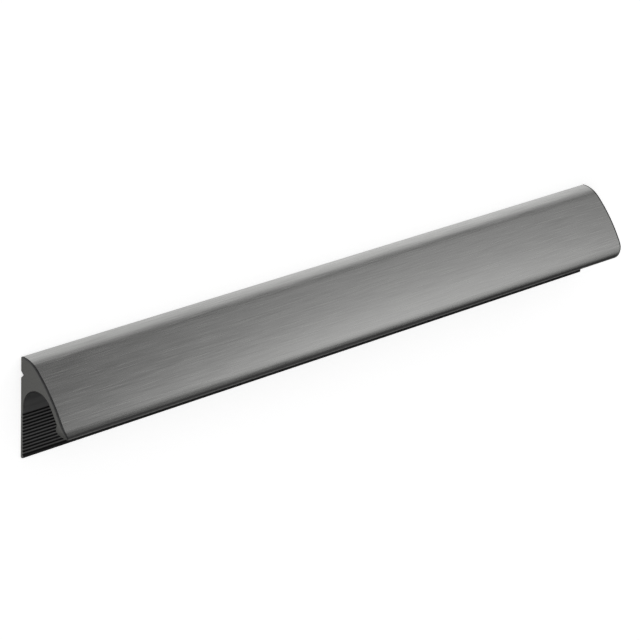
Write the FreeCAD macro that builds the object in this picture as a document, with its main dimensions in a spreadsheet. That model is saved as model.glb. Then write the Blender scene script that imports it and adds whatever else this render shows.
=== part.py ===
"""Finger pull profile: one extruded aluminium piece, cut to length.

It lies on its flat back. X runs along its length, Y points up as it is fitted on a door, and Z points
out of the door's front. The origin is the middle of the back face. Lengths are in millimetres.
"""
import FreeCAD, Part
import math
import os

import Sketcher

Vector = FreeCAD.Vector
Constraint = Sketcher.Constraint

SIZES = {
    # The cut length and the outline of the section
    "cut_length": 240.0,
    "height": 30.0,
    "depth": 17.6,
    "crown_land": 0.4,
    "crown_radius": 9.0,
    "face_radius": 49.0,
    "nose_radius": 5.6,
    # The front wall's lower lip and the finger space behind it
    "lip_rise": 9.5,
    "lip_radius": 1.8,
    "bead_rise": 1.3,
    "bead_slope": 1.7,
    "wall": 1.6,
    "plate": 1.0,
    "arch_radius": 6.0,
    # The drill line on the back and the two tapped holes on it
    "vee_drop": 5.1,
    "vee_depth": 1.0,
    "vee_half_width": 1.0,
    "tap_drill": 3.3,
    "tap_depth": 7.0,
    "drill_point_angle": 118.0,
    "hole_spacing": 192.0,
    # The grip grooves on the plate
    "groove_count": 13,
    "groove_pitch": 1.0,
    "groove_start": 1.2,
    "groove_mouth": 0.6,
    "groove_floor": 0.3,
    "groove_depth": 0.3,
    # Corners and edges
    "lip_corner": 7.0,
    "corner_drop": 1.3,
    "corner_overcut": 0.02,
    "end_chamfer": 0.3,
    "plate_rounding": 0.4,
}

# Points of a sketch element
START, END, CENTRE = 1, 2, 3
ORIGIN = (-1, 1)
X_AXIS = -1

# Two lengths this near to each other are taken as the same
CLOSE = 1e-6

doc = FreeCAD.newDocument("finger_pull")


def make_sheet():
    """Put every driving dimension into a spreadsheet, one alias for each."""
    sheet = doc.addObject("Spreadsheet::Sheet", "Sizes")
    for row, (name, value) in enumerate(SIZES.items(), start=1):
        sheet.set("A%d" % row, name)
        sheet.set("B%d" % row, str(value))
        sheet.setAlias("B%d" % row, name)
    doc.recompute()


def size(name):
    return float(getattr(doc.Sizes, name))


def origin_plane(body, role):
    return next(item for item in body.Origin.OriginFeatures if item.Role == role)


def add_sketch(body, name, role):
    """Start a sketch on one of the body's origin planes."""
    sketch = body.newObject("Sketcher::SketchObject", name)
    sketch.AttachmentSupport = [(origin_plane(body, role), "")]
    sketch.MapMode = "FlatFace"
    return sketch


def line(sketch, start, end):
    return sketch.addGeometry(Part.LineSegment(Vector(*start, 0), Vector(*end, 0)), False)


def polyline(sketch, points):
    """Draw joined lines through the points and return their numbers."""
    lines = [line(sketch, a, b) for a, b in zip(points, points[1:])]
    for first, second in zip(lines, lines[1:]):
        join(sketch, "Coincident", first, END, second, START)
    return lines


def arc(sketch, centre, start, end):
    """Draw the arc that runs anticlockwise about the centre from start to end."""
    circle = Part.Circle(Vector(*centre, 0), Vector(0, 0, 1), math.dist(centre, start))
    first = math.atan2(start[1] - centre[1], start[0] - centre[0])
    last = math.atan2(end[1] - centre[1], end[0] - centre[0])
    return sketch.addGeometry(Part.ArcOfCircle(circle, first, last), False)


def join(sketch, kind, *where):
    sketch.addConstraint(Constraint(kind, *where))


def dimension(sketch, name, kind, where, value, expression):
    """Add a dimension, at a first value near the real one, and tie it to the sheet."""
    index = sketch.addConstraint(Constraint(kind, *where, value))
    sketch.renameConstraint(index, name)
    sketch.setExpression("Constraints." + name, expression)


def along(centre, radius, angle):
    """The point at this angle on a circle in the sketch."""
    return (centre[0] + radius * math.cos(angle), centre[1] + radius * math.sin(angle))


def inner_centre(first, second, first_distance, second_distance):
    """The point at these distances from two others, on the side towards the finger space."""
    apart = math.dist(first, second)
    towards = ((second[0] - first[0]) / apart, (second[1] - first[1]) / apart)
    reach = (first_distance ** 2 - second_distance ** 2 + apart ** 2) / (2 * apart)
    aside = math.sqrt(first_distance ** 2 - reach ** 2)
    return (first[0] + reach * towards[0] - aside * towards[1],
            first[1] + reach * towards[1] + aside * towards[0])


def draw_section(sketch):
    """The extrusion's section: sketch x is the height on the door, sketch y the depth."""
    top = size("height") / 2
    depth = size("depth")
    plate = size("plate")
    vee = top - size("vee_drop")
    half_vee = size("vee_half_width")
    crown_r = size("crown_radius")
    face_r = size("face_radius")
    nose_r = size("nose_radius")
    lip_r = size("lip_radius")
    arch_r = size("arch_radius")
    wall_r = face_r - size("wall")

    # Crown, face, nose and lip are arcs that meet in tangents
    crown_c = (top - crown_r, size("crown_land"))
    lip_u = -top + size("lip_rise") + lip_r
    nose_c = (lip_u, depth - nose_r)
    face_c = inner_centre(crown_c, nose_c, face_r - crown_r, face_r - nose_r)
    crown_end = along(face_c, face_r, math.atan2(crown_c[1] - face_c[1], crown_c[0] - face_c[0]))
    face_end = along(face_c, face_r, math.atan2(nose_c[1] - face_c[1], nose_c[0] - face_c[0]))
    lip_end = (lip_u, depth - 2 * lip_r)

    # The finger space: a bead, the wall's inner side, an arch and the plate
    bead_end = (lip_u + size("bead_rise"), lip_end[1])
    wall_u = bead_end[0] + size("bead_slope")
    wall_start = (wall_u, face_c[1] + math.sqrt(wall_r ** 2 - (wall_u - face_c[0]) ** 2))
    arch_v = plate + arch_r
    arch_u = face_c[0] + math.sqrt((wall_r - arch_r) ** 2 - (arch_v - face_c[1]) ** 2)
    arch_c = (arch_u, arch_v)
    wall_end = along(face_c, wall_r, math.atan2(arch_v - face_c[1], arch_u - face_c[0]))

    back_low, vee_low, vee_high, back_high, land = polyline(sketch, [
        (-top, 0), (vee - half_vee, 0), (vee, size("vee_depth")), (vee + half_vee, 0), (top, 0),
        (top, size("crown_land"))])
    crown = arc(sketch, crown_c, (top, size("crown_land")), crown_end)
    face = arc(sketch, face_c, crown_end, face_end)
    nose = arc(sketch, nose_c, face_end, (lip_u, depth))
    lip = arc(sketch, (lip_u, depth - lip_r), (lip_u, depth), lip_end)
    bead, slope = polyline(sketch, [lip_end, bead_end, wall_start])
    wall = arc(sketch, face_c, wall_end, wall_start)
    arch = arc(sketch, arch_c, (arch_u, plate), wall_end)
    front, foot = polyline(sketch, [(arch_u, plate), (-top, plate), (-top, 0)])

    join(sketch, "Tangent", land, END, crown, START)
    join(sketch, "Tangent", crown, END, face, START)
    join(sketch, "Tangent", face, END, nose, START)
    join(sketch, "Tangent", nose, END, lip, START)
    join(sketch, "Tangent", lip, END, bead, START)
    join(sketch, "Coincident", slope, END, wall, END)
    join(sketch, "Tangent", wall, START, arch, END)
    join(sketch, "Tangent", arch, START, front, START)
    join(sketch, "Coincident", foot, END, back_low, START)
    join(sketch, "Coincident", face, CENTRE, wall, CENTRE)
    for element, point in ((back_low, START), (back_low, END), (back_high, START), (back_high, END)):
        join(sketch, "PointOnObject", element, point, X_AXIS)
    join(sketch, "Vertical", land)
    join(sketch, "Vertical", foot)
    join(sketch, "Horizontal", bead)
    join(sketch, "Horizontal", front)
    join(sketch, "Vertical", lip, CENTRE, lip, START)

    add = lambda *values: dimension(sketch, *values)
    add("lower_half", "DistanceX", (back_low, START, *ORIGIN), top, "Sizes.height / 2")
    add("upper_half", "DistanceX", (*ORIGIN, back_high, END), top, "Sizes.height / 2")
    add("vee_drop", "DistanceX", (vee_low, END, back_high, END), size("vee_drop"), "Sizes.vee_drop")
    add("vee_depth", "DistanceY", (*ORIGIN, vee_low, END), size("vee_depth"), "Sizes.vee_depth")
    add("vee_low", "DistanceX", (vee_low, START, vee_low, END), half_vee, "Sizes.vee_half_width")
    add("vee_high", "DistanceX", (vee_high, START, vee_high, END), half_vee, "Sizes.vee_half_width")
    add("land", "DistanceY", (land, START, land, END), size("crown_land"), "Sizes.crown_land")
    add("crown_r", "Radius", (crown,), crown_r, "Sizes.crown_radius")
    add("face_r", "Radius", (face,), face_r, "Sizes.face_radius")
    add("nose_r", "Radius", (nose,), nose_r, "Sizes.nose_radius")
    add("lip_r", "Radius", (lip,), lip_r, "Sizes.lip_radius")
    add("lip_rise", "DistanceX", (back_low, START, lip, CENTRE), lip_u + top,
        "Sizes.lip_rise + Sizes.lip_radius")
    add("depth", "DistanceY", (*ORIGIN, lip, START), depth, "Sizes.depth")
    add("bead_rise", "DistanceX", (bead, START, bead, END), size("bead_rise"), "Sizes.bead_rise")
    add("bead_slope", "DistanceX", (slope, START, slope, END), size("bead_slope"), "Sizes.bead_slope")
    add("wall_r", "Radius", (wall,), wall_r, "Sizes.face_radius - Sizes.wall")
    add("arch_r", "Radius", (arch,), arch_r, "Sizes.arch_radius")
    add("plate", "DistanceY", (*ORIGIN, front, END), plate, "Sizes.plate")


def draw_groove(sketch):
    """One grip groove, the lowest, as a shallow trapezoid in the plate's front."""
    middle = -size("height") / 2 + size("groove_start")
    mouth = size("groove_mouth")
    floor = size("groove_floor")
    front = size("plate")
    bottom = front - size("groove_depth")
    opening, upper, base, lower = polyline(sketch, [
        (middle - mouth / 2, front), (middle + mouth / 2, front), (middle + floor / 2, bottom),
        (middle - floor / 2, bottom), (middle - mouth / 2, front)])
    join(sketch, "Coincident", lower, END, opening, START)
    join(sketch, "Horizontal", opening)
    join(sketch, "Horizontal", base)
    join(sketch, "Equal", upper, lower)
    add = lambda *values: dimension(sketch, *values)
    add("mouth", "DistanceX", (opening, START, opening, END), mouth, "Sizes.groove_mouth")
    add("floor", "DistanceX", (base, END, base, START), floor, "Sizes.groove_floor")
    add("front", "DistanceY", (*ORIGIN, opening, START), front, "Sizes.plate")
    add("cut", "DistanceY", (base, START, opening, END), front - bottom, "Sizes.groove_depth")
    add("place", "DistanceX", (opening, START, *ORIGIN), mouth / 2 - middle,
        "Sizes.height / 2 - Sizes.groove_start + Sizes.groove_mouth / 2")


def draw_corner(sketch):
    """What rounding off the lip's corner at the +X end takes away, seen from the front.

    The arc runs a little way past the end face and below the lip, so that it crosses both.
    """
    radius = size("lip_corner")
    end = size("cut_length") / 2 + size("corner_overcut")
    low = -size("height") / 2 + size("lip_rise") - size("corner_drop")
    rounding = arc(sketch, (end - radius, low + radius), (end - radius, low), (end, low + radius))
    side, under = polyline(sketch, [(end, low + radius), (end, low), (end - radius, low)])
    join(sketch, "Coincident", rounding, END, side, START)
    join(sketch, "Coincident", under, END, rounding, START)
    join(sketch, "Vertical", side)
    join(sketch, "Horizontal", under)
    join(sketch, "Vertical", rounding, CENTRE, rounding, START)
    join(sketch, "Horizontal", rounding, CENTRE, rounding, END)
    add = lambda *values: dimension(sketch, *values)
    add("radius", "Radius", (rounding,), radius, "Sizes.lip_corner")
    add("end", "DistanceX", (*ORIGIN, side, END), end, "Sizes.cut_length / 2 + Sizes.corner_overcut")
    add("lip", "DistanceY", (side, END, *ORIGIN), -low,
        "Sizes.height / 2 - Sizes.lip_rise + Sizes.corner_drop")


def draw_holes(sketch):
    """The two tapped holes, on the drill line and the same distance from the middle."""
    height = size("height") / 2 - size("vee_drop")
    radius = size("tap_drill") / 2
    offset = size("hole_spacing") / 2
    add = lambda *values: dimension(sketch, *values)
    for name, side in (("left", -1), ("right", 1)):
        centre = Vector(side * offset, height, 0)
        hole = sketch.addGeometry(Part.Circle(centre, Vector(0, 0, 1), radius), False)
        ends = (hole, CENTRE, *ORIGIN) if side < 0 else (*ORIGIN, hole, CENTRE)
        add(name + "_offset", "DistanceX", ends, offset, "Sizes.hole_spacing / 2")
        add(name + "_height", "DistanceY", (*ORIGIN, hole, CENTRE), height,
            "Sizes.height / 2 - Sizes.vee_drop")
        add(name + "_radius", "Radius", (hole,), radius, "Sizes.tap_drill / 2")


def finish_step(body, feature, sign, volume=0.0):
    """Make this feature the body's tip, and check that it added (1) or took away (-1) material.

    The volume is the body's before this step, and the volume after it is returned.
    """
    body.Tip = feature
    doc.recompute()
    change = feature.Shape.Volume - volume
    if change * sign <= 0:
        raise RuntimeError("%s changed the volume by %.4f" % (feature.Label, change))
    return feature.Shape.Volume


def cut_through(body, name, sketch):
    """Cut the sketch through the whole length of the profile."""
    pocket = body.newObject("PartDesign::Pocket", name)
    pocket.Profile = sketch
    pocket.SideType = "Symmetric"
    pocket.Type = "Length"
    pocket.setExpression("Length", "Sizes.cut_length")
    return pocket


def end_faces(shape):
    """The names of the two sawn end faces."""
    end = size("cut_length") / 2
    names = []
    for number, face in enumerate(shape.Faces, start=1):
        box = face.BoundBox
        if box.XLength < CLOSE and abs(abs(box.XMin) - end) < CLOSE:
            names.append("Face%d" % number)
    return names


def plate_edges(shape):
    """The names of the two long edges at the plate's lower end."""
    low = -size("height") / 2
    names = []
    for number, edge in enumerate(shape.Edges, start=1):
        box = edge.BoundBox
        if box.XLength > size("cut_length") / 2 and box.YMax < low + CLOSE:
            names.append("Edge%d" % number)
    return names


def make_profile():
    body = doc.addObject("PartDesign::Body", "Profile")
    body.Label = "finger_pull_profile"

    section = add_sketch(body, "Section", "YZ_Plane")
    draw_section(section)
    bar = body.newObject("PartDesign::Pad", "Bar")
    bar.Profile = section
    bar.SideType = "Symmetric"
    bar.setExpression("Length", "Sizes.cut_length")
    volume = finish_step(body, bar, 1)

    rounding = body.newObject("PartDesign::Fillet", "PlateRounding")
    rounding.Base = (bar, plate_edges(bar.Shape))
    rounding.setExpression("Radius", "Sizes.plate_rounding")
    volume = finish_step(body, rounding, -1, volume)

    chamfer = body.newObject("PartDesign::Chamfer", "EndChamfer")
    chamfer.Base = (rounding, end_faces(rounding.Shape))
    chamfer.setExpression("Size", "Sizes.end_chamfer")
    volume = finish_step(body, chamfer, -1, volume)

    corner = add_sketch(body, "CornerOutline", "XY_Plane")
    corner.setExpression(".AttachmentOffset.Base.z", "Sizes.plate + Sizes.arch_radius")
    draw_corner(corner)
    cut = body.newObject("PartDesign::Pocket", "LipCorner")
    cut.Profile = corner
    cut.Type = "ThroughAll"
    cut.Reversed = True
    volume = finish_step(body, cut, -1, volume)
    both = body.newObject("PartDesign::Mirrored", "LipCorners")
    both.Originals = [cut]
    both.MirrorPlane = (origin_plane(body, "YZ_Plane"), [""])
    volume = finish_step(body, both, -1, volume)

    outline = add_sketch(body, "GrooveOutline", "YZ_Plane")
    draw_groove(outline)
    groove = cut_through(body, "GripGroove", outline)
    volume = finish_step(body, groove, -1, volume)
    grooves = body.newObject("PartDesign::LinearPattern", "GripGrooves")
    grooves.Originals = [groove]
    grooves.Direction = (outline, ["H_Axis"])
    grooves.Mode = "Spacing"
    grooves.setExpression("Offset", "Sizes.groove_pitch")
    grooves.setExpression("Occurrences", "Sizes.groove_count")
    volume = finish_step(body, grooves, -1, volume)

    places = add_sketch(body, "HolePlaces", "XY_Plane")
    draw_holes(places)
    doc.recompute()
    holes = body.newObject("PartDesign::Hole", "TappedHoles")
    holes.Profile = places
    holes.Reversed = True
    holes.ThreadType = "None"
    holes.DepthType = "Dimension"
    holes.DrillPoint = "Angled"
    holes.setExpression("Diameter", "Sizes.tap_drill")
    holes.setExpression("Depth", "Sizes.tap_depth")
    holes.setExpression("DrillPointAngle", "Sizes.drill_point_angle")
    finish_step(body, holes, -1, volume)
    return body


def check(bodies):
    """Stop if anything in the document failed or a body is not one valid solid."""
    for item in doc.Objects:
        if "Invalid" in item.State or "Error" in item.State:
            raise RuntimeError("%s failed: %s" % (item.Label, item.State))
        if item.isDerivedFrom("Sketcher::SketchObject") and item.solve() != 0:
            raise RuntimeError("%s does not solve" % item.Label)
    for body in bodies:
        if body.Shape.isNull() or not body.Shape.isValid() or len(body.Shape.Solids) != 1:
            raise RuntimeError("%s is not one valid solid" % body.Label)


def main():
    make_sheet()
    bodies = [make_profile()]
    doc.recompute()
    check(bodies)
    os.makedirs("parts", exist_ok=True)
    for body in bodies:
        body.Shape.exportStep("parts/%s.step" % body.Label)
        box = body.Shape.BoundBox
        print(body.Label, "volume", round(body.Shape.Volume, 1), "box", box)


main()
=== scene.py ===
"""The finger pull profile in brushed dark grey aluminium, lying on its back on a pale floor.

The piece is built again here with finer arcs and with rounded edges at its sawn ends. The frame is
the CAD one: X along the length, Y up as fitted on a door, Z out of the door's front, in metres.
"""

import math

import bmesh
import bpy
from mathutils import Matrix, Vector


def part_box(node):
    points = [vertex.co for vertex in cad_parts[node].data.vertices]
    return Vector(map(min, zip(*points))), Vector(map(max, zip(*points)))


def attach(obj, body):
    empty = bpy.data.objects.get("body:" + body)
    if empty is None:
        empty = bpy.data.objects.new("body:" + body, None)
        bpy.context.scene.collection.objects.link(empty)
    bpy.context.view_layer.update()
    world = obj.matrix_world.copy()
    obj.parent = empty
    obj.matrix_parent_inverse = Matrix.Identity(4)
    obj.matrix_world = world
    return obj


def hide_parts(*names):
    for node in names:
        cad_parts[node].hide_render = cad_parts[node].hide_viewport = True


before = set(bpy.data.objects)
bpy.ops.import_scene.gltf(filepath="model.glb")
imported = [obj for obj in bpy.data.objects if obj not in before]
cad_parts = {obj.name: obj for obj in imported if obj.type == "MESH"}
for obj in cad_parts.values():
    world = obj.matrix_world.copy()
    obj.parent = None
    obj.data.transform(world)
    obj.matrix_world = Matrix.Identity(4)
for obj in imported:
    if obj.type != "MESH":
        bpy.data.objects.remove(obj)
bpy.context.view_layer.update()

NODE = "finger_pull_profile"
MM = 0.001

# The section, in millimetres; u is the height on the door and v the depth
NODE_LOW, NODE_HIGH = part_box(NODE)
HALF_LENGTH = NODE_HIGH.x / MM
TOP = NODE_HIGH.y / MM
DEPTH = NODE_HIGH.z / MM
CROWN_LAND = 0.4
CROWN_RADIUS = 9.0
FACE_RADIUS = 49.0
NOSE_RADIUS = 5.6
LIP_RISE = 9.5
LIP_RADIUS = 1.8
BEAD_RISE = 1.3
BEAD_SLOPE = 1.7
WALL = 1.6
PLATE = 1.0
ARCH_RADIUS = 6.0
PLATE_ROUNDING = 0.4
VEE_DROP = 5.1
VEE_DEPTH = 1.0
VEE_HALF_WIDTH = 1.0

# The grip grooves
GROOVE_COUNT = 13
GROOVE_PITCH = 1.0
GROOVE_START = 1.2
GROOVE_MOUTH = 0.6
GROOVE_FLOOR = 0.3
GROOVE_DEPTH = 0.3

# The tapped holes, whose cutters start a little behind the back
TAP_DRILL = 3.3
TAP_START = -1.0
TAP_DEPTH = 7.0
DRILL_POINT_ANGLE = math.radians(118)
HOLE_SPACING = 192.0
HOLE_SIDES = 48

# The lip's rounded corner at each end, as an arc that crosses the end face and the lip's lower edge
LIP_CORNER = 7.0
CORNER_DROP = 1.3
CORNER_OVERCUT = 0.02
CORNER_X = HALF_LENGTH + CORNER_OVERCUT - LIP_CORNER
CORNER_U = -TOP + LIP_RISE - CORNER_DROP + LIP_CORNER
CORNER_TOP = CORNER_U - math.sqrt(LIP_CORNER ** 2 - (LIP_CORNER - CORNER_OVERCUT) ** 2)

# Rounded edges of the ends: on the front, elsewhere, and at the grooves and the lip's lower edge
FRONT_BREAK = 0.3
OTHER_BREAK = 0.15
FINE_BREAK = 0.03
# Steps across such an edge in shares of its size: how far in from the side and from the end. The
# first one starts a narrow band of the edge's finish before the rounding, which on the front is a dark
# painted shade.
EDGE_BAND = 2.2
BREAK_TURNS = [math.radians(angle) for angle in (0, 22.5, 45, 67.5, 90)]
BREAK_STEPS = [(0.0, EDGE_BAND)] + [(1 - math.cos(turn), 1 - math.sin(turn)) for turn in BREAK_TURNS]

# Steps along the arcs, and up the lip
FACE_STEP = math.radians(0.6)
CURVE_STEP = math.radians(3)
TIGHT_STEP = math.radians(7.5)
FOOT_STEP = math.radians(15)
LEVEL_STEP = 0.4

SHARP_ANGLE = math.radians(25)
# The finishes by number. The groove, sawn end and edge colours are painted shade, and so is part of the
# inside's darker colour
FRONT_FINISH, INSIDE_FINISH_AND_SHADE, GROOVE_AND_FOOT_SHADE, SAWN_END_SHADE, EDGE_PAINTED_SHADE = range(5)

# The grain: the span that most of its noise lies in, and the height of its relief in metres
NOISE_SPAN = (0.3, 0.7)
GRAIN_HEIGHT = 0.02 * MM


def along(centre, radius, angle):
    """The point at this distance and angle from the centre."""
    return (centre[0] + radius * math.cos(angle), centre[1] + radius * math.sin(angle))


def bearing(start, end):
    """The angle of the line from one point to another."""
    return math.atan2(end[1] - start[1], end[0] - start[0])


def arc(centre, radius, first, last, step):
    """Points on an arc from the first angle to the last, both included."""
    count = max(1, round(abs(last - first) / step))
    return [along(centre, radius, first + (last - first) * k / count) for k in range(count + 1)]


def inner_centre(first, second, first_distance, second_distance):
    """The point at these distances from two others, on the side towards the finger space."""
    apart = math.dist(first, second)
    towards = ((second[0] - first[0]) / apart, (second[1] - first[1]) / apart)
    reach = (first_distance ** 2 - second_distance ** 2 + apart ** 2) / (2 * apart)
    aside = math.sqrt(first_distance ** 2 - reach ** 2)
    return (first[0] + reach * towards[0] - aside * towards[1],
            first[1] + reach * towards[1] + aside * towards[0])


# Centres and meeting points of the section's arcs
CROWN_C = (TOP - CROWN_RADIUS, CROWN_LAND)
LIP_U = -TOP + LIP_RISE + LIP_RADIUS
NOSE_C = (LIP_U, DEPTH - NOSE_RADIUS)
LIP_C = (LIP_U, DEPTH - LIP_RADIUS)
FACE_C = inner_centre(CROWN_C, NOSE_C, FACE_RADIUS - CROWN_RADIUS, FACE_RADIUS - NOSE_RADIUS)
CROWN_TURN = bearing(FACE_C, CROWN_C)
FACE_TURN = bearing(FACE_C, NOSE_C)
FACE_END = along(FACE_C, FACE_RADIUS, FACE_TURN)
WALL_RADIUS = FACE_RADIUS - WALL
BEAD_V = DEPTH - 2 * LIP_RADIUS
BEAD_END = LIP_U + BEAD_RISE
WALL_U = BEAD_END + BEAD_SLOPE
WALL_V = FACE_C[1] + math.sqrt(WALL_RADIUS ** 2 - (WALL_U - FACE_C[0]) ** 2)
ARCH_V = PLATE + ARCH_RADIUS
ARCH_C = (FACE_C[0] + math.sqrt((WALL_RADIUS - ARCH_RADIUS) ** 2 - (ARCH_V - FACE_C[1]) ** 2), ARCH_V)
ARCH_TURN = bearing(FACE_C, ARCH_C)


def outer_v(u):
    """The depth of the front surface at this height, from the lip's end up to the crown."""
    if u < LIP_U:
        return LIP_C[1] + math.sqrt(max(LIP_RADIUS ** 2 - (u - LIP_U) ** 2, 0))
    if u < FACE_END[0]:
        return NOSE_C[1] + math.sqrt(NOSE_RADIUS ** 2 - (u - LIP_U) ** 2)
    return FACE_C[1] + math.sqrt(FACE_RADIUS ** 2 - (u - FACE_C[0]) ** 2)


def inner_v(u):
    """The depth of the inner side at this height, from the lip's end up the slope."""
    if u < LIP_U:
        return LIP_C[1] - math.sqrt(max(LIP_RADIUS ** 2 - (u - LIP_U) ** 2, 0))
    if u < WALL_U:
        return BEAD_V + max(u - BEAD_END, 0) / BEAD_SLOPE * (WALL_V - BEAD_V)
    return FACE_C[1] + math.sqrt(WALL_RADIUS ** 2 - (u - FACE_C[0]) ** 2)


def lip_break(u):
    """The end's edge rounding on the outer side, which runs out towards the lip's lower edge."""
    share = min((u - LIP_U) / LIP_RADIUS + 1, 1)
    return FINE_BREAK + (FRONT_BREAK - FINE_BREAK) * share


def spaced(low, high, step):
    """Even values from low to high, both included."""
    count = max(1, math.ceil((high - low) / step))
    return [low + (high - low) * k / count for k in range(count + 1)]


def lip_levels():
    """Heights from the lip's lower edge up to the top of the rounded corner."""
    edge = [point[0] for point in arc(LIP_C, LIP_RADIUS, math.pi, math.pi / 2, TIGHT_STEP)]
    stops = (LIP_U, BEAD_END, WALL_U, CORNER_TOP)
    rise = [spaced(low, high, LEVEL_STEP)[:-1] for low, high in zip(stops, stops[1:])]
    return edge[:-1] + sum(rise, []) + [CORNER_TOP]


def plate_front():
    """The plate's front from the arch down to its rounded lower end, with the grooves.

    Each point comes with the finish of the side that starts there. The grooves, the lowest land and the
    rounded foot get painted shade, a dark colour where shade falls.
    """
    points = []
    for k in reversed(range(GROOVE_COUNT)):
        middle = -TOP + GROOVE_START + k * GROOVE_PITCH
        floor = PLATE - GROOVE_DEPTH
        # The groove sides and floors, and the land below the lowest groove, get painted shade
        points += [(middle + GROOVE_MOUTH / 2, PLATE, GROOVE_AND_FOOT_SHADE),
                   (middle + GROOVE_FLOOR / 2, floor, GROOVE_AND_FOOT_SHADE),
                   (middle - GROOVE_FLOOR / 2, floor, GROOVE_AND_FOOT_SHADE),
                   (middle - GROOVE_MOUTH / 2, PLATE, INSIDE_FINISH_AND_SHADE if k else GROOVE_AND_FOOT_SHADE)]
    return points


def section():
    """The outline as (u, v, edge break, finish) points, anticlockwise from the crown's land.

    The finish is that of the side from the point to the next one. Returned with the numbers of
    the points at the lip's levels: outer, from the top down, and inner, from the bottom up. They
    share the point at the lip's lower edge.
    """
    levels = lip_levels()
    points = [(TOP, 0.0, OTHER_BREAK, FRONT_FINISH)]
    front = arc(CROWN_C, CROWN_RADIUS, 0, CROWN_TURN, CURVE_STEP)
    last = bearing(FACE_C, (CORNER_TOP, outer_v(CORNER_TOP)))
    front += arc(FACE_C, FACE_RADIUS, CROWN_TURN, last, FACE_STEP)[1:-1]
    points += [(*point, FRONT_BREAK, FRONT_FINISH) for point in front]
    outer = list(range(len(points), len(points) + len(levels)))
    # Below the lip's edge the front takes the darker inside colour, painted shade under the lip
    points += [(u, outer_v(u), lip_break(u), FRONT_FINISH if u > LIP_U else INSIDE_FINISH_AND_SHADE)
               for u in reversed(levels)]
    inner = list(range(outer[-1], outer[-1] + len(levels)))
    points += [(u, inner_v(u), OTHER_BREAK, INSIDE_FINISH_AND_SHADE) for u in levels[1:]]
    first = bearing(FACE_C, (CORNER_TOP, inner_v(CORNER_TOP)))
    inside = arc(FACE_C, WALL_RADIUS, first, ARCH_TURN, FACE_STEP)[1:]
    inside += arc(ARCH_C, ARCH_RADIUS, ARCH_TURN, -math.pi / 2, CURVE_STEP)[1:]
    points += [(*point, OTHER_BREAK, INSIDE_FINISH_AND_SHADE) for point in inside]
    points += [(u, v, FINE_BREAK, finish) for u, v, finish in plate_front()]
    foot_u = -TOP + PLATE_ROUNDING
    foot = arc((foot_u, PLATE - PLATE_ROUNDING), PLATE_ROUNDING, math.pi / 2, math.pi, FOOT_STEP)
    foot += arc((foot_u, PLATE_ROUNDING), PLATE_ROUNDING, math.pi, 1.5 * math.pi, FOOT_STEP)
    # The rounded foot gets painted shade, a dark colour for the shade under the lip
    points += [(*point, OTHER_BREAK, GROOVE_AND_FOOT_SHADE) for point in foot[:-1]]
    points.append((*foot[-1], OTHER_BREAK, INSIDE_FINISH_AND_SHADE))
    vee = TOP - VEE_DROP
    back = [(vee - VEE_HALF_WIDTH, 0.0), (vee, VEE_DEPTH), (vee + VEE_HALF_WIDTH, 0.0)]
    points += [(*point, OTHER_BREAK, INSIDE_FINISH_AND_SHADE) for point in back]
    return points, outer, inner


def end_x(u, v):
    """Half the length at this point of the section, less where the lip's corner is rounded."""
    if u >= CORNER_TOP or v < ARCH_V:
        return HALF_LENGTH
    drop = min(CORNER_U - u, LIP_CORNER)
    return CORNER_X + math.sqrt(LIP_CORNER ** 2 - drop ** 2)


def corner_turn(u, v):
    """How squarely the end surface faces along X here: 1 on the flat end, 0 at the lip's edge."""
    if u >= CORNER_TOP or v < ARCH_V:
        return 1.0
    return math.sqrt(max(1 - ((CORNER_U - u) / LIP_CORNER) ** 2, 0))


def inset(points, k, amount):
    """The section point k moved into the material, square to both of its sides."""
    (u0, v0), (u, v), (u1, v1) = (points[i % len(points)][:2] for i in (k - 1, k, k + 1))
    before = Vector((v - v0, u0 - u)).normalized()
    after = Vector((v1 - v, u - u1)).normalized()
    move = (before + after) * amount / (1 + before.dot(after))
    return u - move.x, v - move.y


def vertex(mesh, x, u, v):
    """A vertex from a place in millimetres."""
    return mesh.verts.new(Vector((x, u, v)) * MM)


def end_rings(mesh, points, side):
    """The rings of points across the rounded edge at one end, from the side to the end face."""
    rings = []
    for aside, before in BREAK_STEPS:
        ring = []
        for k, (u, v, width, _) in enumerate(points):
            width *= corner_turn(u, v)
            back = end_x(*inset(points, k, width)) - end_x(u, v)
            x = end_x(u, v) + back * aside - width * before
            ring.append(vertex(mesh, side * x, *inset(points, k, width * aside)))
        rings.append(ring)
    return rings


def face(mesh, corners, finish, side=1, smooth=True):
    """A face from its corners, which run anticlockwise seen from outside on the +X side."""
    corners = list(dict.fromkeys(corners))
    made = mesh.faces.new(corners if side > 0 else list(reversed(corners)))
    made.material_index = finish
    made.smooth = smooth


def build_mesh():
    """The piece without its holes: its long sides, the rounded edges and the two end faces."""
    points, outer, inner = section()
    count = len(points)
    mesh = bmesh.new()
    rings = {side: end_rings(mesh, points, side) for side in (-1, 1)}
    for k in range(count):
        after = (k + 1) % count
        left, right = rings[-1][0], rings[1][0]
        face(mesh, (left[k], left[after], right[after], right[k]), points[k][3])
        # Rounded end edges on the front get the edge's painted shade, the others the sawn end's painted
        # shade
        edge = EDGE_PAINTED_SHADE if points[k][2] > OTHER_BREAK else SAWN_END_SHADE
        for side in (-1, 1):
            for rim, cap in zip(rings[side], rings[side][1:]):
                face(mesh, (rim[k], rim[after], cap[after], cap[k]), edge, side)
    # Each end face is made of strips across the rounded corner and one flat face above and behind it
    for side in (-1, 1):
        cap = rings[side][-1]
        for k in range(len(outer) - 1):
            a, b = outer[k], outer[k + 1]
            c, d = inner[-1 - k], inner[-2 - k]
            face(mesh, (cap[a], cap[b], cap[d], cap[c]), SAWN_END_SHADE, side)
        flat = list(range(inner[-1], count)) + list(range(outer[0] + 1))
        face(mesh, [cap[k] for k in flat], SAWN_END_SHADE, side, smooth=False)
    return mesh


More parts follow.
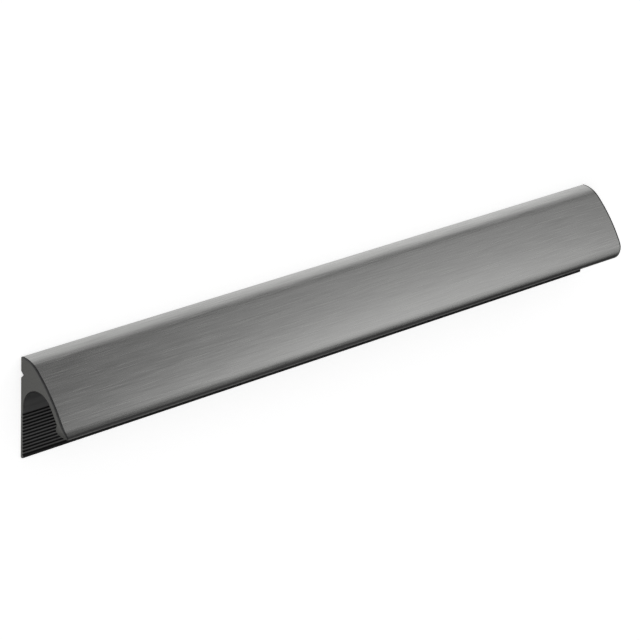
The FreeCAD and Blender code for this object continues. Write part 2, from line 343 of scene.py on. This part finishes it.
def drill(name, x):
    """A cutter for one tapped hole: a bore from the back with a conical end."""
    mesh = bmesh.new()
    radius = TAP_DRILL / 2
    middle = TOP - VEE_DROP
    tip = TAP_DEPTH + radius / math.tan(DRILL_POINT_ANGLE / 2)
    turns = [2 * math.pi * k / HOLE_SIDES for k in range(HOLE_SIDES)]
    rings = [[vertex(mesh, x + radius * math.cos(a), middle + radius * math.sin(a), v) for a in turns]
             for v in (TAP_START, TAP_DEPTH)]
    point = vertex(mesh, x, middle, tip)
    for k in range(HOLE_SIDES):
        after = (k + 1) % HOLE_SIDES
        face(mesh, (rings[0][k], rings[0][after], rings[1][after], rings[1][k]), INSIDE_FINISH_AND_SHADE)
        face(mesh, (rings[1][k], rings[1][after], point), INSIDE_FINISH_AND_SHADE)
    face(mesh, rings[0], INSIDE_FINISH_AND_SHADE, side=-1)
    return add_object(name, mesh)


def add_object(name, mesh):
    """An object in the scene from a finished bmesh."""
    data = bpy.data.meshes.new(name)
    mesh.to_mesh(data)
    mesh.free()
    item = bpy.data.objects.new(name, data)
    bpy.context.scene.collection.objects.link(item)
    return item


def cut_holes(piece):
    """Cuts the two tapped holes."""
    for side in (-1, 1):
        cutter = drill("cutter", side * HOLE_SPACING / 2)
        cut = piece.modifiers.new("hole", "BOOLEAN")
        cut.operation = "DIFFERENCE"
        cut.solver = "EXACT"
        cut.object = cutter
        shape = piece.evaluated_get(bpy.context.evaluated_depsgraph_get())
        data = bpy.data.meshes.new_from_object(shape)
        piece.modifiers.clear()
        piece.data = data
        bpy.data.objects.remove(cutter)


def mark_edges(piece):
    """Smooth faces meet in a sharp edge where they turn by more than SHARP_ANGLE."""
    mesh = bmesh.new()
    mesh.from_mesh(piece.data)
    for edge in mesh.edges:
        flat = any(not item.smooth for item in edge.link_faces)
        edge.smooth = not flat and edge.calc_face_angle(math.pi) < SHARP_ANGLE
    mesh.to_mesh(piece.data)
    mesh.free()


def lay_grain(piece):
    """A UV map whose V runs along the length, for the direction of the brushing."""
    layer = piece.data.uv_layers.new(name="grain")
    for loop in piece.data.loops:
        place = piece.data.vertices[loop.vertex_index].co
        layer.data[loop.index].uv = (place.y - place.z, place.x)


def node(tree, kind, **values):
    """A new node with these properties."""
    made = tree.nodes.new(kind)
    for name, value in values.items():
        setattr(made, name, value)
    return made


def part_way(tree, value, start, end, low, high, course="SMOOTHSTEP"):
    """Goes from low to high while the value goes from start to end."""
    span = node(tree, "ShaderNodeMapRange", interpolation_type=course)
    tree.links.new(value, span.inputs["Value"])
    for name, number in (("From Min", start), ("From Max", end), ("To Min", low), ("To Max", high)):
        span.inputs[name].default_value = number
    return span.outputs["Result"]


def ranged(tree, value, low, high):
    """The noise value stretched to run evenly from low to high."""
    return part_way(tree, value, *NOISE_SPAN, low, high, course="LINEAR")


def combine(tree, operation, *values):
    """The sum, the product or the largest of several values."""
    total = values[0]
    for value in values[1:]:
        step = node(tree, "ShaderNodeMath", operation=operation)
        tree.links.new(total, step.inputs[0])
        tree.links.new(value, step.inputs[1])
        total = step.outputs[0]
    return total


def axes(tree, place):
    """The X, Y and Z outputs of a place."""
    split = node(tree, "ShaderNodeSeparateXYZ")
    tree.links.new(place, split.inputs[0])
    return split.outputs


def share_along(tree, place, direction):
    """How far a place lies along a direction."""
    step = node(tree, "ShaderNodeVectorMath", operation="DOT_PRODUCT")
    tree.links.new(place, step.inputs[0])
    step.inputs[1].default_value = direction
    return step.outputs["Value"]


def streaks(tree, length, width, detail, seed):
    """Noise drawn out along X: streaks of about this length and width, in metres."""
    place = node(tree, "ShaderNodeTexCoord")
    scale = node(tree, "ShaderNodeMapping")
    scale.inputs["Scale"].default_value = (1 / length, 1 / width, 1 / width)
    scale.inputs["Location"].default_value = (seed, seed, seed)
    noise = node(tree, "ShaderNodeTexNoise")
    noise.inputs["Scale"].default_value = 1.0
    noise.inputs["Detail"].default_value = detail
    tree.links.new(place.outputs["Object"], scale.inputs["Vector"])
    tree.links.new(scale.outputs["Vector"], noise.inputs["Vector"])
    return noise.outputs["Fac"]


def metal(name, dark, light, rough, rim, grain, bump, anisotropy=0.0):
    """Aluminium whose colour, roughness and relief follow one grain.

    rim is how much of the usual brightening towards a grazing view is kept.
    """
    material = bpy.data.materials.new(name)
    material.use_nodes = True
    tree = material.node_tree
    shader = tree.nodes["Principled BSDF"]
    shader.inputs["Metallic"].default_value = 1.0
    shader.inputs["Anisotropic"].default_value = anisotropy
    shader.inputs["Specular Tint"].default_value = (rim, rim, rim, 1)
    fine = streaks(tree, **grain)
    mix = node(tree, "ShaderNodeMix", data_type="RGBA")
    mix.inputs["A"].default_value = (*dark, 1)
    mix.inputs["B"].default_value = (*light, 1)
    tree.links.new(ranged(tree, fine, 0, 1), mix.inputs["Factor"])
    tree.links.new(mix.outputs["Result"], shader.inputs["Base Color"])
    tree.links.new(ranged(tree, fine, *rough), shader.inputs["Roughness"])
    relief = node(tree, "ShaderNodeBump")
    relief.inputs["Strength"].default_value = bump
    relief.inputs["Distance"].default_value = GRAIN_HEIGHT
    tree.links.new(fine, relief.inputs["Height"])
    tree.links.new(relief.outputs["Normal"], shader.inputs["Normal"])
    if anisotropy:
        tangent = node(tree, "ShaderNodeTangent", direction_type="UV_MAP", uv_map="grain")
        tree.links.new(tangent.outputs["Tangent"], shader.inputs["Tangent"])
    return material


def finishes():
    """The finishes in the order of their numbers: front, inside, groove, sawn end and dark edge. All but
    the front carry painted shade, the inside only in part.
    """
    extruded = dict(length=60 * MM, width=0.4 * MM, detail=3, seed=2.0)
    return (
        metal("brushed_front", dark=(0.285, 0.285, 0.28), light=(0.395, 0.395, 0.388),
              rough=(0.22, 0.28), rim=1.0, bump=0.15, anisotropy=0.7,
              grain=dict(length=13 * MM, width=0.3 * MM, detail=4, seed=1.0)),
        # Duller as extruded, and painted darker as shade, above all on the lip's underside
        metal("extruded_inside_and_shade", dark=(0.17, 0.17, 0.17), light=(0.23, 0.23, 0.23),
              rough=(0.34, 0.44), rim=0.3, bump=0.15, grain=extruded),
        # Painted shade for the grooves and the plate's foot
        metal("groove", dark=(0.04, 0.04, 0.04), light=(0.065, 0.065, 0.065),
              rough=(0.4, 0.5), rim=0.25, bump=0.1, grain=extruded),
        # Saw-marked and dull, with a colour painted darker than the front as the shade on the ends
        metal("sawn_end_painted_shade", dark=(0.1, 0.1, 0.096), light=(0.13, 0.13, 0.125),
              rough=(0.5, 0.6), rim=0.25, bump=0.3,
              grain=dict(length=0.3 * MM, width=0.6 * MM, detail=3, seed=3.0)),
        # Painted shade for the front's rounded end edges: a dark colour standing in for a dark reflection
        metal("edge_painted_shade", dark=(0.06, 0.06, 0.06), light=(0.09, 0.09, 0.09),
              rough=(0.34, 0.44), rim=0.2, bump=0.1,
              grain=dict(length=1 * MM, width=1 * MM, detail=3, seed=4.0)),
    )


def build_piece():
    """The profile itself, in place of its CAD node."""
    piece = add_object("profile", build_mesh())
    cut_holes(piece)
    mark_edges(piece)
    lay_grain(piece)
    for finish in finishes():
        piece.data.materials.append(finish)
    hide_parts(NODE)
    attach(piece, "root")


# The studio. Four numbers in a row are a start and an end, and the levels there.
FLOOR_SIZE = 6.0
FLOOR_GAP = 0.02 * MM
FLOOR_COLOUR = 0.8
# With this glow the lit floor is just white and keeps a soft shadow
FLOOR_GLOW = 0.64
# Metal shows the floor's glow dimmer further off along Y, and towards both ends along X
FLOOR_FADE = (0.011, 0.050, 0.99, 0.1)
FLOOR_NEAR_X = (-0.08, 0.01, 0.84, 1.0)
FLOOR_FAR_X = (0.09, 0.14, 1.0, 0.8)
# The room is dim around the wide light, and open and light towards -X
ROOM_BRIGHT_SIDE = (0.6, 0.6, 0.5)
ROOM_LEVELS = (0.0, 0.55, 0.1, 0.2)
ROOM_OPEN_X = (0.1, 0.45, 0.45, 0.0)
# The wide light ends along X, and across two leaning sides that make it taller towards the far end
LIGHT_NEAR_X = (0.588, 0.70, 0.0, 1.24)
LIGHT_FAR_X = (0.70, 0.78, 1.0, 0.0)
LOW_SIDE = (2.0, 1.0, 0.0)
LIGHT_LOW = (1.20, 1.29, 0.0, 1.0)
HIGH_SIDE = (-2.5, 1.0, 0.0)
LIGHT_HIGH = (-1.378, -0.998, 1.0, 0.45)
# The room and the light are dimmer towards the horizon
HORIZON = (0.0, 0.22, 0.43, 1.0)

# The camera: lens, sensor, nearest distance, place, what it looks at and its roll
CAMERA_LENS = 184.018
CAMERA_SENSOR = 36.0
CAMERA_NEAREST = 0.01
CAMERA_PLACE = (-0.670114, 0.339722, 0.635860)
CAMERA_TARGET = (-0.011075, 0.002136, 0.009)
CAMERA_ROLL = math.radians(110.494)


def build_floor():
    """A white floor that keeps the piece's shadow, and whose glow metal shows too."""
    mesh = bmesh.new()
    bmesh.ops.create_grid(mesh, x_segments=1, y_segments=1, size=FLOOR_SIZE / 2)
    floor = add_object("floor", mesh)
    floor.location.z = -FLOOR_GAP
    material = bpy.data.materials.new("floor")
    material.use_nodes = True
    tree = material.node_tree
    tree.nodes.clear()
    path = node(tree, "ShaderNodeLightPath").outputs
    axis = axes(tree, node(tree, "ShaderNodeTexCoord").outputs["Object"])
    shown = node(tree, "ShaderNodeMath", operation="MULTIPLY")
    tree.links.new(combine(tree, "MAXIMUM", path["Is Camera Ray"], path["Is Transmission Ray"]),
                   shown.inputs[0])
    shown.inputs[1].default_value = FLOOR_GLOW
    mirrored = combine(tree, "MULTIPLY", part_way(tree, axis["Y"], *FLOOR_FADE),
                       part_way(tree, axis["X"], *FLOOR_NEAR_X),
                       part_way(tree, axis["X"], *FLOOR_FAR_X), path["Is Glossy Ray"])
    glow = node(tree, "ShaderNodeEmission")
    tree.links.new(combine(tree, "MAXIMUM", shown.outputs[0], mirrored), glow.inputs["Strength"])
    matt = node(tree, "ShaderNodeBsdfDiffuse")
    matt.inputs["Color"].default_value = (FLOOR_COLOUR,) * 3 + (1,)
    both = node(tree, "ShaderNodeAddShader")
    tree.links.new(glow.outputs[0], both.inputs[0])
    tree.links.new(matt.outputs[0], both.inputs[1])
    output = node(tree, "ShaderNodeOutputMaterial")
    tree.links.new(both.outputs[0], output.inputs["Surface"])
    floor.data.materials.append(material)


def build_world():
    """A grey room with one wide soft light off the far end, which the camera sees as white."""
    world = bpy.data.worlds.new("studio")
    bpy.context.scene.world = world
    world.use_nodes = True
    tree = world.node_tree
    place = node(tree, "ShaderNodeTexCoord").outputs["Generated"]
    axis = axes(tree, place)
    room = part_way(tree, share_along(tree, place, ROOM_BRIGHT_SIDE), *ROOM_LEVELS)
    light = combine(tree, "MULTIPLY", part_way(tree, axis["X"], *LIGHT_NEAR_X),
                    part_way(tree, axis["X"], *LIGHT_FAR_X),
                    part_way(tree, share_along(tree, place, LOW_SIDE), *LIGHT_LOW),
                    part_way(tree, share_along(tree, place, HIGH_SIDE), *LIGHT_HIGH))
    both = combine(tree, "ADD", room, light, part_way(tree, axis["X"], *ROOM_OPEN_X))
    dimmed = combine(tree, "MULTIPLY", both, part_way(tree, axis["Z"], *HORIZON))
    path = node(tree, "ShaderNodeLightPath").outputs
    background = tree.nodes["Background"]
    background.inputs["Color"].default_value = (1, 1, 1, 1)
    tree.links.new(combine(tree, "MAXIMUM", dimmed, path["Is Camera Ray"]), background.inputs["Strength"])


def softbox(name, direction, distance, size, level):
    """A rectangular lamp in this direction from the piece; level is how bright its face looks."""
    data = bpy.data.lights.new(name, "AREA")
    data.shape = "RECTANGLE"
    data.size, data.size_y = size
    data.energy = level * math.pi * size[0] * size[1]
    lamp = bpy.data.objects.new(name, data)
    towards = Vector(direction).normalized()
    lamp.location = towards * distance
    lamp.rotation_euler = towards.to_track_quat("Z", "Y").to_euler()
    bpy.context.scene.collection.objects.link(lamp)


def place_camera():
    """The camera at its place, looking at its target and rolled about its own axis."""
    data = bpy.data.cameras.new("camera")
    data.lens = CAMERA_LENS
    data.sensor_width = CAMERA_SENSOR
    data.clip_start = CAMERA_NEAREST
    camera = bpy.data.objects.new("camera", data)
    place, target = Vector(CAMERA_PLACE), Vector(CAMERA_TARGET)
    aim = (target - place).to_track_quat("-Z", "Y").to_matrix().to_4x4()
    camera.matrix_world = Matrix.Translation(place) @ aim @ Matrix.Rotation(CAMERA_ROLL, 4, "Z")
    bpy.context.scene.collection.objects.link(camera)
    bpy.context.scene.camera = camera


build_piece()
build_floor()
build_world()
softbox("key", direction=(0.72, 0.25, 0.65), distance=1.6, size=(0.5, 0.5), level=0.25)
place_camera()
bpy.context.scene.view_settings.view_transform = "Standard"
